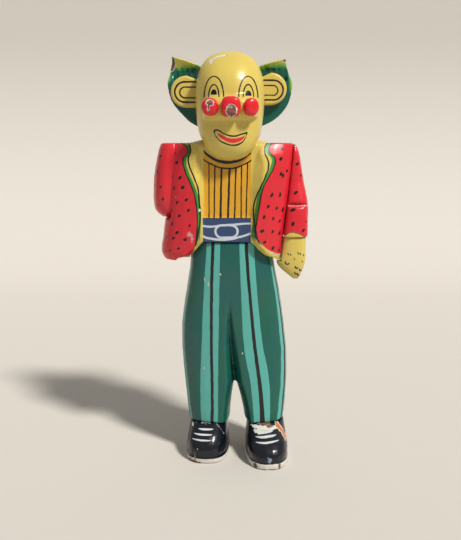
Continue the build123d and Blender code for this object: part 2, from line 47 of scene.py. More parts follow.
def carved(node, fineness=0.9, rubbing=6, unevenness=0.25, polished=None, let_in=None):
    """Copy of a CAD block with its knife edges rubbed down; it stands for the block.

    fineness and unevenness are in mm, and rubbing counts the passes over all of it. Above and
    behind the two places in polished it is rubbed much longer. let_in is an x, a y and a depth:
    what lies beyond that x and in front of that y is sunk so much deeper in its neighbour.
    """
    polishing = 30  # passes
    hollow_span, hollow_share = 13.0, 0.8  # mm, and the share that keeps swells inside the block
    block = bmesh.new()
    block.from_mesh(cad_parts[node].data)
    bmesh.ops.remove_doubles(block, verts=block.verts, dist=0.001 * MM)
    if let_in:
        seat_x, front_of_y, depth = let_in
        for vert in block.verts:
            if vert.co.x > seat_x * MM and vert.co.y < front_of_y * MM:
                vert.co.x += depth * MM
    rough = bpy.data.meshes.new(node + "_rough")
    block.to_mesh(rough)
    block.free()
    piece = bpy.data.objects.new(node + "_painted", rough)
    bpy.context.scene.collection.objects.link(piece)
    closing = piece.modifiers.new("closing", "REMESH")
    closing.mode = "VOXEL"
    closing.voxel_size = fineness * MM
    depsgraph = bpy.context.evaluated_depsgraph_get()
    piece.data = bpy.data.meshes.new_from_object(piece.evaluated_get(depsgraph))
    piece.modifiers.clear()
    piece.data.materials.clear()
    block = bmesh.new()
    block.from_mesh(piece.data)
    for _ in range(rubbing):
        bmesh.ops.smooth_vert(
            block, verts=block.verts, factor=0.5, use_axis_x=True, use_axis_y=True, use_axis_z=True
        )
    if polished:
        above, behind = polished
        round_part = [v for v in block.verts if v.co.z > above * MM or v.co.y > behind * MM]
        for _ in range(polishing):
            bmesh.ops.smooth_vert(
                block, verts=round_part, factor=0.5, use_axis_x=True, use_axis_y=True, use_axis_z=True
            )
    block.normal_update()
    for vert in block.verts:
        swell = noise.noise(vert.co / (hollow_span * MM)) - hollow_share
        vert.co += vert.normal * swell * unevenness * MM
    for face in block.faces:
        face.smooth = True
    block.to_mesh(piece.data)
    block.free()
    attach(piece, "root")
    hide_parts(node)
    return piece


class Field:
    """A number that varies over the wood: a place, a distance in mm or a share of cover."""

    def __init__(self, socket):
        self.socket = socket

    def join(self, operation, *others, clamp=False):
        tree = self.socket.id_data
        node = tree.nodes.new("ShaderNodeMath")
        node.operation, node.use_clamp = operation, clamp
        for entry, value in zip(node.inputs, (self, *others)):
            if isinstance(value, Field):
                tree.links.new(value.socket, entry)
            else:
                entry.default_value = value
        return Field(node.outputs[0])

    def __add__(self, other):
        return self.join("ADD", other)

    def __sub__(self, other):
        return self.join("SUBTRACT", other)

    def __rsub__(self, other):
        return self * -1.0 + other

    def __mul__(self, other):
        return self.join("MULTIPLY", other)

    def __truediv__(self, other):
        return self.join("DIVIDE", other)

    def __neg__(self):
        return self * -1.0

    def __abs__(self):
        return self.join("ABSOLUTE")


def least(first, *rest):
    for other in rest:
        first = first.join("MINIMUM", other)
    return first


def most(first, *rest):
    for other in rest:
        first = first.join("MAXIMUM", other)
    return first


def rounded(first, other, radius):
    """Lesser of two distances, with the corner between them rounded off."""
    return first.join("SMOOTH_MIN", other, radius)


def inside(distance, soft=0.3):
    """Cover of a stroke: full where the distance to its edge is negative."""
    return distance.join("MULTIPLY_ADD", -1.0 / soft, 0.5, clamp=True)


FAR = 9.0  # mm, further than any stroke reaches


def kept_to(cover):
    """Distance to add to a stroke's own, so that it stays where the cover is full."""
    return (1.0 - cover) * FAR


def length(across, up):
    return (across * across + up * up).join("SQRT")


def oval(across, up, middle, level, half_width, half_height):
    """Distance in mm to an oval, negative within it."""
    a, b = across - middle, up - level
    share = length(a / half_width, b / half_height)
    slope = length(a / half_width**2, b / half_height**2) + 1e-5
    return (share - 1.0) * share / slope


def curve(level, points):
    """Smooth line through points of (level, value), as one long brush stroke."""
    tree = level.socket.id_data
    node = tree.nodes.new("ShaderNodeFloatCurve")
    levels, values = [p[0] for p in points], [p[1] for p in points]
    first, span = min(levels), max(levels) - min(levels)
    low, room = min(values) - 1.0, max(values) - min(values) + 2.0  # 1 mm to spare at both ends
    handles = node.mapping.curves[0].points
    for k, (at, value) in enumerate(sorted(points)):
        place = ((at - first) / span, (value - low) / room)
        if k < 2:
            handles[k].location = place
        else:
            handles.new(*place)
    node.mapping.extend = "HORIZONTAL"
    node.mapping.update()
    tree.links.new(((level - first) / span).socket, node.inputs["Value"])
    return Field(node.outputs[0]) * room + low


def screen(red, green, blue):
    """Linear colour of a paint from its 0 to 255 screen colour."""
    return tuple((((c / 255) + 0.055) / 1.055) ** 2.4 for c in (red, green, blue)) + (1.0,)


BLACK = screen(14, 14, 18)
GESSO = screen(214, 209, 200)
BARE_WOOD, DARK_GRAIN = screen(128, 98, 74), screen(86, 62, 46)


class PaintJob:
    """Ground colour with strokes laid over it in order; x, y and z waver as a hand does."""

    # Noise: its size in mm, then what its full span stands for, in mm or in roughness
    shake_size, shake_span = 11.0, 2.5
    brush_size, brush_depth = 1.6, 0.05
    sheen_size, sheen_span = 9.0, 0.22
    swell_size, swell_span = 6.0, 0.5
    # Dust and specks: size or gap in mm, then share of cover
    dust_size, dust_cover = 28.0, 0.05
    speck_gap, speck_cover = 7.0, 0.75
    # Chips: how deep in mm the paint and then the ground are gone, and how rough that is
    chip_depth, bare_depth, chip_roughness = 0.25, 0.15, 0.8

    def __init__(self, name, ground, waver=0.35, gloss=0.3):
        self.material = bpy.data.materials.new(name)
        self.material.use_nodes = True
        self.tree = self.material.node_tree
        self.shader = self.tree.nodes["Principled BSDF"]
        place = self.tree.nodes.new("ShaderNodeTexCoord").outputs["Object"]
        self.place = self.vector("SCALE", place, 1 / MM)
        shake = self.vector("SUBTRACT", self.cloud(self.shake_size, 2.0, colour=True), (0.5, 0.5, 0.5))
        shaken = self.vector("ADD", self.place, self.vector("SCALE", shake, self.shake_span * waver))
        self.x, self.y, self.z = self.split(shaken)
        self.true_y = self.split(self.place)[1]
        self.colour = ground
        self.height = Field(self.cloud(self.brush_size, 2.0)) * self.brush_depth
        self.rough = Field(self.cloud(self.sheen_size, 3.0)) * self.sheen_span + (gloss - 0.1)

    def vector(self, operation, first, second):
        node = self.tree.nodes.new("ShaderNodeVectorMath")
        node.operation = operation
        self.tree.links.new(first, node.inputs[0])
        if operation == "SCALE":
            node.inputs["Scale"].default_value = second
        elif isinstance(second, tuple):
            node.inputs[1].default_value = second
        else:
            self.tree.links.new(second, node.inputs[1])
        return node.outputs[0]

    def split(self, vector):
        node = self.tree.nodes.new("ShaderNodeSeparateXYZ")
        self.tree.links.new(vector, node.inputs[0])
        return [Field(output) for output in node.outputs]

    def cloud(self, size, detail, stretch=(1.0, 1.0, 1.0), colour=False):
        """Noise of about that size in mm, longer along an axis where its stretch is more than 1."""
        node = self.tree.nodes.new("ShaderNodeTexNoise")
        drawn = self.vector("MULTIPLY", self.place, tuple(1 / s for s in stretch))
        self.tree.links.new(drawn, node.inputs["Vector"])
        node.inputs["Scale"].default_value = 1 / size
        node.inputs["Detail"].default_value = detail
        return node.outputs[1 if colour else 0]

    def kept(self, name):
        """Distance that was measured over the finished block and kept with it."""
        node = self.tree.nodes.new("ShaderNodeAttribute")
        node.attribute_name = name
        return Field(node.outputs["Fac"])

    def mix(self, below, above, cover):
        node = self.tree.nodes.new("ShaderNodeMix")
        node.data_type = "RGBA"
        for entry, value in ((node.inputs[0], cover), (node.inputs[6], below), (node.inputs[7], above)):
            if isinstance(value, Field):
                self.tree.links.new(value.socket, entry)
            elif isinstance(value, bpy.types.NodeSocket):
                self.tree.links.new(value, entry)
            else:
                entry.default_value = value
        return node.outputs[2]

    def lay(self, colour, cover):
        self.colour = self.mix(self.colour, colour, cover)

    def line(self, distance, half_width, cover=None, colour=BLACK):
        """Brush line where the distance is near nought; it swells and thins a little."""
        swell = Field(self.cloud(self.swell_size, 1.0)) * self.swell_span
        stroke = inside(abs(distance) - (swell + (half_width - self.swell_span / 2)))
        self.lay(colour, stroke if cover is None else stroke * cover)

    def ragged(self, distance, by, size=3.0):
        """Distance to an edge torn by up to so many mm, in teeth of about that size."""
        return distance + (Field(self.cloud(size, 4.0)) - 0.5) * (2 * by)

    def chip(self, distance, by, gesso_rim=0.9, flecks=None):
        """Paint broken away to the white ground, and inside that to the wood, but for flecks."""
        broken = self.ragged(distance, by)
        off, bare = inside(broken, 0.2), inside(broken + gesso_rim, 0.4)
        grain = self.mix(BARE_WOOD, DARK_GRAIN, Field(self.cloud(2.0, 3.0, (1.0, 1.0, 7.0))))
        self.lay(GESSO, off)
        self.lay(grain, bare)
        if flecks:
            span, white_from, own_below = 9.0, 5.4, 3.7  # mm, along the span of the noise
            self.lay(GESSO, bare * inside(white_from - Field(self.cloud(2.2, 3.0)) * span, 0.6) * 0.8)
            self.lay(flecks, bare * inside(Field(self.cloud(3.1, 2.0)) * span - own_below, 0.5))
        self.height = self.height - off * self.chip_depth - bare * self.bare_depth
        self.rough = self.rough * (1.0 - off) + off * self.chip_roughness

    def done(self):
        """Dust and dark specks over all of it, then the gloss."""
        dust = Field(self.cloud(self.dust_size, 4.0)) - 0.5
        self.lay(screen(120, 108, 84), inside(0.04 - dust, 0.3) * self.dust_cover)
        specks = self.tree.nodes.new("ShaderNodeTexVoronoi")
        self.tree.links.new(self.place, specks.inputs["Vector"])
        specks.inputs["Scale"].default_value = 1 / self.speck_gap
        speck_size = Field(self.cloud(16.0, 1.0)) * 1.4 - 0.62
        speck = inside(Field(specks.outputs["Distance"]) * self.speck_gap - speck_size, 0.3)
        self.lay(screen(70, 58, 44), speck * self.speck_cover)
        self.tree.links.new(self.colour, self.shader.inputs["Base Color"])
        self.tree.links.new(self.rough.socket, self.shader.inputs["Roughness"])
        bump = self.tree.nodes.new("ShaderNodeBump")
        bump.inputs["Distance"].default_value = MM
        self.tree.links.new(self.height.socket, bump.inputs["Height"])
        self.tree.links.new(bump.outputs["Normal"], self.shader.inputs["Normal"])
        return self.material


trousers = carved("trousers", fineness=1.0)
DARK_GREEN, PALE_GREEN = screen(6, 90, 74), screen(84, 170, 160)

paint = PaintJob("striped_trouser_paint", DARK_GREEN)
paint.lay(screen(22, 84, 88), inside(0.52 - Field(paint.cloud(35.0, 1.0)), 0.25) * 0.6)
# Front stripes, each by height: outer edge of the pale band, middle of the black line on it,
# inner edge, and half the line's width
front_bands = (
    (
        [(34, -29.4), (68, -30.2), (121, -28.4), (165, -26.3), (211, -23.4), (218, -23.0)],
        [(34, -18.7), (68, -18.3), (121, -18.9), (165, -18.6), (211, -17.2), (218, -17.0)],
        [(34, -12.8), (68, -12.5), (121, -11.8), (165, -11.0), (211, -10.1), (218, -10.0)],
        [(34, 1.6), (68, 1.5), (218, 1.6)],
    ),
    (
        [(34, 23.8), (68, 21.0), (121, 12.8), (165, 10.5), (211, 8.7), (218, 8.6)],
        [(34, 32.4), (68, 29.9), (121, 23.2), (165, 19.0), (211, 15.4), (218, 15.2)],
        [(34, 39.9), (68, 39.4), (121, 31.1), (165, 26.5), (211, 22.7), (218, 22.3)],
        [(34, 2.7), (68, 2.0), (218, 1.6)],
    ),
)
for outer, middle, inner, half_width in front_bands:
    band = most(curve(paint.z, outer) - paint.x, paint.x - curve(paint.z, inner))
    paint.lay(PALE_GREEN, inside(band))
    paint.line(paint.x - curve(paint.z, middle), curve(paint.z, half_width))
# Side stripes, on the outer faces of the legs: side, middle of the foremost, the leg's outer edge
LEG_MIDDLE_Y, SIDE_FACE, SIDE_BAND = 8.0, 8.0, 5.0  # the face's depth in x, the band's half width
leg_sides = (
    (
        -1, -2.0,
        [(34, -42.6), (56, -44.9), (82, -47.3), (108, -49.2), (135, -49.2), (163, -45.2), (218, -38.1)],
    ),
    (
        1, -5.5,
        [(34, 54.4), (56, 56.4), (82, 57.5), (108, 56.9), (135, 53.9), (163, 49.9), (218, 40.6)],
    ),
)
for side, stripe_y, edge in leg_sides:
    outer_face = inside((curve(paint.z, edge) - paint.x) * side - SIDE_FACE, 0.6)
    for mirror in (1, -1):
        from_stripe = (paint.y - LEG_MIDDLE_Y) * mirror - (stripe_y - LEG_MIDDLE_Y)
        paint.lay(PALE_GREEN, inside(abs(from_stripe) - SIDE_BAND) * outer_face)
        paint.line(from_stripe, 1.6, outer_face)
# Chips, on the front only: middle, level, half width, half height
in_front = kept_to(inside(paint.true_y + 5.0, 1.0))
for middle, level, half_width, half_height in (
    (-25.0, 182.0, 0.5, 2.4), (-21.4, 177.0, 0.4, 2.8), (-9.8, 187.0, 0.9, 1.0),
    (-26.0, 92.0, 0.4, 2.0), (12.0, 108.0, 0.5, 1.2),
):
    paint.chip(oval(paint.x, paint.z, middle, level, half_width, half_height) + in_front, 0.9, 0.7)
trousers.data.materials.append(paint.done())

# ---------------------------------------------------------------- shoes
# Two blocks with high insteps. Blue-black gloss paint, the sole's edge white and worn at the
# toes, three white strokes for laces, and the paint cracked off along the trouser hem.
NAVY_BLACK, SOLE_WHITE = screen(14, 18, 30), screen(206, 201, 190)
LACE_WHITE, ORANGE_WOOD, GREY_TOE_HIGHLIGHT = screen(206, 210, 214), screen(192, 112, 50), screen(150, 164, 186)
LACE_HALF_HEIGHT, HEM_LEVEL, FLAKE_HALF_WIDTH, FLAKE_START = 0.68, 34.6, 1.5, 45.5
# Laces: level, middle, half length. Chips: middle, level, half width, half height, white rim.
shoe_marks = {
    "right_shoe": dict(
        laces=[(30.1, -24.7, 7.6), (26.3, -27.4, 9.2), (22.0, -28.9, 9.6)], tilt=0.01, sole=4.6,
        chips=[
            (-22.5, 34.3, 6.5, 0.3, 0.3), (-38.5, 32.4, 0.6, 1.6, 2.0), (-35.2, 6.5, 0.5, 5.5, 0.1),
            (-35.5, 0.6, 6.0, 1.7, 0.1), (-32.5, 14.0, 0.6, 1.2, 2.0), (-40.5, 2.5, 1.6, 1.2, 0.4),
        ],
        cracks=[[(24.0, -6.8), (29.7, -10.2), (34.0, -14.8)]],
    ),
    "left_shoe": dict(
        laces=[(29.3, 33.9, 8.4), (27.0, 35.1, 10.2), (23.6, 36.3, 11.6)], tilt=0.07, sole=5.5,
        chips=[
            (33.5, 31.6, 13.0, 1.5, 9.0), (28.5, 29.4, 5.6, 1.2, 9.0), (32.0, 33.9, 8.5, 0.8, 0.1),
            (39.0, 32.4, 3.6, 0.9, 0.1), (24.2, 2.5, 1.5, 3.0, 0.1), (47.4, 2.8, 1.3, 3.0, 0.1),
            (37.0, 0.0, 10.0, 0.5, 0.1),
        ],
        cracks=[],
    ),
}
for node, marks in shoe_marks.items():
    shoe = carved(node, fineness=0.8, rubbing=5)
    paint = PaintJob(node + "_paint", NAVY_BLACK, waver=0.3, gloss=0.2)
    in_front = kept_to(inside(paint.true_y + 10.0, 1.0))
    for level, middle, half in marks["laces"]:
        tilted = paint.z - (paint.x - middle) * marks["tilt"]
        lace = oval(paint.x, tilted, middle, level, half, LACE_HALF_HEIGHT)
        paint.lay(LACE_WHITE, inside(lace + in_front))
    paint.lay(SOLE_WHITE, inside(paint.z - marks["sole"]))
    for middle, level, half_width, half_height, rim in marks["chips"]:
        spot = oval(paint.x, paint.z, middle, level, half_width, half_height) + in_front
        paint.chip(spot, 1.9, rim)
    for points in marks["cracks"]:
        course = abs(paint.x - curve(paint.z, points)) - 0.1
        below_top = inside(points[0][0] - paint.z) * inside(in_front)
        paint.lay(GESSO, inside(paint.ragged(course, 1.3, 1.8)) * below_top)
    paint.chip(HEM_LEVEL - paint.z, 1.3, 0.9)
    if node == "left_shoe":
        course = paint.z - curve(paint.x, [(45.0, 33.6), (50.8, 29.3), (54.5, 23.0)])
        flake = most(abs(course) - FLAKE_HALF_WIDTH, FLAKE_START - paint.x)
        flake = paint.ragged(flake + in_front, 1.2)
        paint.lay(GESSO, inside(flake - 0.6))
        paint.lay(ORANGE_WOOD, inside(flake))
        # Painted highlight: a grey-blue glint of the key light on the front of the toe.
        toe_highlight = paint.ragged(oval(paint.x, paint.z, 37.8, 9.5, 2.0, 2.6) + in_front, 3.0, 2.4)
        paint.lay(GREY_TOE_HIGHLIGHT, inside(toe_highlight, 1.0) * 0.8)
    shoe.data.materials.append(paint.done())

# ---------------------------------------------------------------- torso
# Jacket, shirt and belt in one block. The jacket's front edges stand proud, with a green band,
# a yellow band and the yellow lining between black lines; shirt and belt are only painted on.
RED, EDGE_GREEN = screen(214, 34, 48), screen(58, 142, 52)
YELLOW, OCHRE, BELT_BLUE = screen(214, 190, 92), screen(216, 158, 34), screen(46, 68, 106)
WHITE_STROKE, PINK_SMUDGE = screen(196, 204, 212), screen(208, 164, 166)
# Dabs of black on the front, by x and level; the rest are strewn at random over sides and back
DABS = dict(
    torso=[
        (-57, 309), (-54, 302), (-62, 297), (-51, 294), (-66, 284), (-56, 281), (-48, 280), (-54, 270),
        (-45, 271), (-42, 260), (-51, 257), (-58, 249), (-40, 250), (-49, 244), (-56, 236), (-39, 235),
        (-51, 228), (-62, 223), (-55, 223), (-43, 222), (-50, 213), (-58, 210), (-63, 209),
        (49, 307), (48, 298), (48, 284), (50, 282), (54, 287), (42, 274), (49, 274), (39, 264), (47, 264),
        (36, 253), (44, 252), (50, 250), (32, 243), (41, 242), (47, 239), (30, 230), (40, 229), (47, 227),
        (33, 219), (41, 213), (47, 210),
    ],
    left_arm=[(64, 293), (68, 282), (63, 266), (72, 254), (60, 250), (60, 236), (73, 238), (70, 230)],
    right_arm=[(-67, 300), (-70, 286), (-67, 271), (-65, 260), (-70, 254), (-73, 272)],
)


def dabbed(piece, node, seed):
    """Keeps with the mesh the distance in mm from each vertex to the edge of the nearest dab."""
    front_limit, tries, least_gap, more_gap = -0.2, 2500, 9.5, 3.0
    mesh = piece.data
    places = np.empty(len(mesh.vertices) * 3)
    mesh.vertices.foreach_get("co", places)
    places = places.reshape(-1, 3) / MM
    facing = np.empty(len(mesh.vertices) * 3)
    mesh.vertex_normals.foreach_get("vector", facing)
    facing = facing.reshape(-1, 3)
    draw = np.random.default_rng(seed)
    middles = []
    seen = np.where(facing[:, 1] < front_limit)[0]
    for x, z in DABS[node]:
        nearest = seen[np.argmin((places[seen, 0] - x) ** 2 + (places[seen, 2] - z) ** 2)]
        middles.append(places[nearest])
    for vertex in draw.permutation(np.where(facing[:, 1] > front_limit)[0])[:tries]:
        gap = np.linalg.norm(np.array(middles) - places[vertex], axis=1).min()
        if gap > least_gap + more_gap * draw.random():
            middles.append(places[vertex])
    distance = np.full(len(places), FAR)
    for middle in middles:
        tilt = radians(draw.uniform(20, 80))
        along = np.array([cos(tilt), 0.0, sin(tilt)])
        away = places - middle
        run = away @ along
        slimness = draw.uniform(0.5, 0.75)
        rest = np.sqrt(np.maximum((away**2).sum(1) - run**2, 0) + (run * slimness) ** 2)
        half_width = draw.uniform(0.75, 1.25)
        distance = np.minimum(distance, rest - half_width)
    kept = mesh.attributes.new("dab_distance", "FLOAT", "POINT")
    kept.data.foreach_set("value", distance.astype(np.float32))


torso = carved("torso")
dabbed(torso, "torso", 3)
paint = PaintJob("jacket_shirt_and_belt_paint", YELLOW)
x, y, z = paint.x, paint.y, paint.z
# Edges of the red: the lapels by height, the hem's front ends by x, the back by two levels
right_edge = curve(z, [
    (316, -48.5), (312.8, -47.1), (305.4, -40.6), (297, -45.4), (288, -43.6), (274, -38.0),
    (260, -33.5), (243, -31.8), (229, -32.3), (214, -34.5), (200, -36.5),
])
left_edge = curve(z, [
    (316, 43.5), (313.7, 41.5), (306.4, 36.9), (297, 42.6), (291.5, 41.7), (282, 37.0), (269, 30.6),
    (255, 27.9), (241, 25.6), (229, 23.8), (214, 23.4), (200, 23.4),
])
left_hem = curve(x, [(18, 226.0), (26.2, 221.7), (35.8, 212.0), (50.2, 205.3), (60, 203.5)])
right_hem = curve(x, [(-68, 198.5), (-52, 200.0), (-44, 203.0), (-37, 208.0), (-31, 215.0)])
right_red = rounded(right_edge - x, z - right_hem, 5.0)
left_red = rounded(x - left_edge, z - left_hem, 5.0)
on_front = most(right_red, left_red)
NECK_LEVEL, BACK_HEM, GREEN_WIDTH = 309.0, 203.0, 3.7
neck = oval(x, y, -1.0, 4.0, 37.0, 27.0)
on_back = least(most(neck, NECK_LEVEL - z), z - BACK_HEM)
turn = inside(4.0 - y, 6.0)
red = on_front * (1.0 - turn) + on_back * turn
paint.lay(EDGE_GREEN, inside(most(-red - GREEN_WIDTH, red + 0.6)) * inside(222.0 - z, 6.0))
paint.lay(RED, inside(-red))
paint.line(red + 0.4, 0.65, inside(217.0 - z, 3.0))
front = inside(y + 8.0, 1.0)
# Black lines between the yellow band and the lining, by height, down to where each runs out
inner_lines = (
    [(313.7, -43.4), (306.4, -37.9), (297.1, -39.8), (292.5, -38.9), (278.5, -33.4), (269.1, -30.6),
     (255, -29.3), (240.7, -28.9), (231.2, -30.0), (221.6, -31.9), (215, -34.0)],
    [(313.7, 39.2), (306.4, 32.2), (297.1, 35.1), (292.5, 36.1), (283.1, 33.4), (271.9, 28.7),
     (259.7, 23.6), (250.2, 21.8), (240.7, 22.3), (229.3, 24.3), (223.5, 25.2), (216.8, 30.1)],
)
for points in inner_lines:
    paint.line(x - curve(z, points), 0.75, front * inside(points[-1][0] - z, 2.0))
SHIRT_MIDDLE, SHIRT_HALF, SHIRT_FOOT, STRIPE_LENGTH = -3.0, 22.6, 242.0, 48.0
shirt = least(inside(abs(x - SHIRT_MIDDLE) - SHIRT_HALF), front)
lower_arc = curve(x, [(-28, 300.0), (-19.3, 293.7), (-2.4, 289.0), (14.6, 293.7), (22, 299.5)])
upper_arc = curve(x, [
    (-28, 310.5), (-16.5, 298.4), (-5.2, 295.0), (4.2, 295.6), (18.4, 303.5), (23, 307.5),
])
paint.lay(OCHRE, shirt * inside(z - upper_arc))
# Shirt stripes: x at foot and top, half width
for foot, top, half_width in (
    (-20.6, -20.4, 0.6), (-15.8, -14.7, 0.65), (-9.6, -8.5, 1.0), (-2.4, -0.9, 1.0),
    (3.8, 5.2, 0.75), (10.1, 10.4, 0.65), (14.9, 16.1, 0.65),
):
    stroke = x - (z - SHIRT_FOOT) * ((top - foot) / STRIPE_LENGTH) - foot
    paint.line(stroke, half_width, shirt * inside(z - lower_arc))
paint.line(z - lower_arc, 0.8, shirt)
paint.line(z - upper_arc, 1.45, shirt)
BELT_MIDDLE, BELT_LEVEL, BELT_HALF, BELT_HALF_HEIGHT = -3.5, 229.6, 23.0, 12.4
belt = inside(most(abs(x - BELT_MIDDLE) - BELT_HALF, abs(z - BELT_LEVEL) - BELT_HALF_HEIGHT)) * front
paint.lay(BELT_BLUE, belt)
paint.line(z - (SHIRT_FOOT + 0.2), 0.6, belt)
above = curve(x, [(-26, 234.4), (-18.8, 233.7), (-8.5, 235.0), (5, 235.8), (12, 236.5), (19, 236.7)])
below = curve(x, [(-26, 224.2), (-18.9, 222.0), (-8.6, 221.1), (0, 221.6), (10.3, 224.1), (19, 227.0)])
paint.line(z - above, 0.95, belt, WHITE_STROKE)
paint.line(z - below, 1.1, belt, WHITE_STROKE)
BUCKLE_X, BUCKLE_LEVEL, BUCKLE_RUN, BUCKLE_RADIUS = -3.8, 229.0, 4.6, 6.0
buckle = length(most(abs(x - BUCKLE_X) - BUCKLE_RUN, 0.0), z - BUCKLE_LEVEL) - BUCKLE_RADIUS
paint.lay(BELT_BLUE, inside(buckle) * belt)
paint.line(buckle, 1.05, belt, WHITE_STROKE)
paint.line(paint.kept("dab_distance") + 0.6, 0.9, inside(-red + 1.6, 0.3))
in_front = kept_to(front)
smudge = least(oval(x, z, -38.4, 226.5, 3.0, 2.2), oval(x, z, -37.0, 222.0, 1.5, 2.6))
paint.lay(PINK_SMUDGE, inside(paint.ragged(smudge + in_front, 2.4), 1.4) * 0.8)
for middle, level, half_width, half_height in (
    (-29.2, 249.9, 0.9, 1.5), (45.5, 206.2, 4.5, 0.5), (39.5, 208.5, 1.5, 0.5), (-52.0, 262.0, 0.4, 0.6),
):
    paint.chip(oval(x, z, middle, level, half_width, half_height) + in_front, 1.0, 1.6)
torso.data.materials.append(paint.done())

# ---------------------------------------------------------------- arms
# Left: sleeve glued on the slanting seat, creased at the elbow with one knife cut.
# Right: upper arm let into the pared side, so that the paint runs over the joint in a soft fold;
# its forearm is turned flat behind the back.
ELBOW_CREASE, CREASE_HIGHLIGHT_PINK, CUFF_BROWN = 253.4, screen(222, 170, 168), screen(150, 84, 40)
for node, seed, let_in in (("left_arm", 5, None), ("right_arm", 7, (-57.5, 39.0, 4.5))):
    arm = carved(node, let_in=let_in)
    dabbed(arm, node, seed)
    paint = PaintJob(node + "_paint", RED)
    paint.line(paint.kept("dab_distance") + 0.6, 0.9)
    if node == "left_arm":
        cuff = curve(paint.x, [
            (50, 224.5), (52.6, 225.1), (58.5, 228.0), (63.6, 227.5), (69.8, 224.4), (76, 222.5),
        ])
        paint.lay(YELLOW, inside(paint.z - cuff))
        paint.line(paint.z - cuff, 0.45, colour=CUFF_BROWN)
        # Painted highlight: a pale pink line where light catches the lower edge of the elbow crease.
        crease_highlight = abs(paint.z - ELBOW_CREASE) - 0.35 + kept_to(inside(paint.true_y + 12.0))
        paint.lay(CREASE_HIGHLIGHT_PINK, inside(paint.ragged(crease_highlight, 0.9), 0.6) * 0.8)
        paint.chip(oval(paint.x, paint.z, 61.5, 312.0, 2.0, 3.0), 1.2)
    arm.data.materials.append(paint.done())

# ---------------------------------------------------------------- hands
# Mitten blocks let in under the cuffs; knuckles and nails are short black dabs of the brush.
# Ticks and hooks: middle, level, and half length or radius
TICK_HALF_WIDTH, HOOK_HALF_WIDTH = 0.6, 0.7
finger_marks = {
    "left_hand": (
        [
            (56.0, 206.7, 1.2), (58.2, 206.0, 1.2), (65.4, 207.4, 1.5), (67.6, 206.6, 1.5),
            (71.1, 205.1, 1.3), (62.0, 201.5, 0.9), (70.0, 199.0, 1.0),
        ],
        [
            (55.2, 198.2, 1.9), (64.6, 193.6, 1.4), (68.9, 190.8, 1.5), (64.2, 187.8, 1.5),
            (67.4, 186.2, 1.8),
        ],
    ),
    "right_hand": ([(-18.0, 258.0, 1.2), (-17.0, 252.0, 1.3), (-17.5, 246.5, 1.2)], []),
}
for node, (ticks, hooks) in finger_marks.items():
    hand = carved(node, fineness=0.6, rubbing=5)
    paint = PaintJob(node + "_paint", YELLOW, waver=0.25)
    for middle, level, half in ticks:
        leaning = paint.x + (paint.z - level) * 0.3
        paint.lay(BLACK, inside(oval(leaning, paint.z, middle, level, TICK_HALF_WIDTH, half)))
    for middle, level, radius in hooks:
        hook = abs(oval(paint.x, paint.z, middle, level, radius, radius)) - HOOK_HALF_WIDTH
        lower_left = inside(paint.x * 0.5 + paint.z - (middle * 0.5 + level + 0.3), 0.5)
        paint.lay(BLACK, inside(hook) * lower_left)
    hand.data.materials.append(paint.done())

# ---------------------------------------------------------------- head
# Egg of yellow gloss paint. A ledge with a flat underside carries the three knobs; eyes and
# mouth are drawn with a thin brush, and the paint is chipped to the ground on the brow.
LEDGE_TOP, ARCH_LINE, MOUTH_LINE, LIP_RED = 354.0, 0.62, 0.75, screen(224, 38, 52)
head = carved("head", fineness=0.8, polished=(361.0, -31.0))
paint = PaintJob("head_paint", YELLOW, waver=0.22, gloss=0.24)
x, z = paint.x, paint.z
on_face = inside(paint.true_y + 12.0, 1.0)
over_ledge = inside(LEDGE_TOP - z, 0.6) * on_face
# Each arch: middle and foot, then half width and height of its outer and inner line
for middle, foot, outer, inner in (
    (-15.2, 354.4, (8.9, 18.4), (4.7, 10.8)),
    (16.3, 353.4, (8.9, 19.5), (4.9, 12.0)),
):
    paint.line(oval(x, z, middle, foot, *outer), ARCH_LINE, over_ledge)
    paint.line(oval(x, z, middle, foot, *inner), ARCH_LINE, over_ledge)
    pupil = most(oval(x, z, middle, foot + 2.2, 2.9, 4.4), (foot + 1.7) - z)
    paint.lay(BLACK, inside(pupil) * on_face)
# Mouth: outline, yellow rim and red lips, its left end lower than its right
outline = most(
    z - curve(x, [
        (-15.1, 324.0), (-12.6, 324.5), (-6.5, 321.3), (2.9, 319.0), (9.7, 320.6), (15, 322.2),
    ]),
    curve(x, [
        (-15.1, 322.6), (-12.4, 317.6), (-6.5, 313.0), (2.9, 310.8), (9.7, 312.8), (13.4, 317.0),
        (15, 321.6),
    ]) - z,
    abs(x) - 14.8,
)
paint.line(outline, MOUTH_LINE, on_face)
lips = most(
    z - curve(x, [(-12.0, 322.0), (-6.5, 319.3), (0.2, 317.0), (7.0, 317.4), (13.3, 320.2)]),
    curve(x, [(-12.0, 321.2), (-6.5, 315.7), (1.6, 312.9), (8.3, 314.2), (13.3, 319.4)]) - z,
    abs(x - 0.6) - 12.6,
)
paint.lay(LIP_RED, inside(lips) * on_face)
# Chip on the brow: a scratch along a curve, and a spot at its lower end
course = z - curve(x, [(-19, 386.0), (-17.5, 388.3), (-12.7, 391.1), (-8.0, 392.4), (-3.5, 392.8)])
scratch = most(abs(course) - 1.0, abs(x + 11.0) - 7.0)
brow = least(scratch, oval(x, z, -17.6, 387.4, 1.7, 2.8))
paint.chip(brow + kept_to(on_face), 0.9, 3.0)
head.data.materials.append(paint.done())

# ---------------------------------------------------------------- knobs
# Nose and cheeks: red domes pegged in the ledge. Nose and right cheek have lost paint down to
# the wood. Chips: middle, level, half width and half height.
KNOB_RED = screen(222, 34, 44)
for node, chips in (
    ("nose_knob", [(0.9, 341.0, 5.2, 6.0)]),
    ("right_cheek_knob", [(-18.6, 348.4, 3.6, 3.2), (-19.7, 344.4, 1.4, 3.8)]),
    ("left_cheek_knob", []),
):
    knob = carved(node, fineness=0.4, unevenness=0.15)
    paint = PaintJob(node + "_paint", KNOB_RED, gloss=0.22)
    if chips:
        broken = least(*[oval(paint.x, paint.z, *place) for place in chips])
        paint.chip(broken, 2.0, 0.8, flecks=KNOB_RED)
    knob.data.materials.append(paint.done())

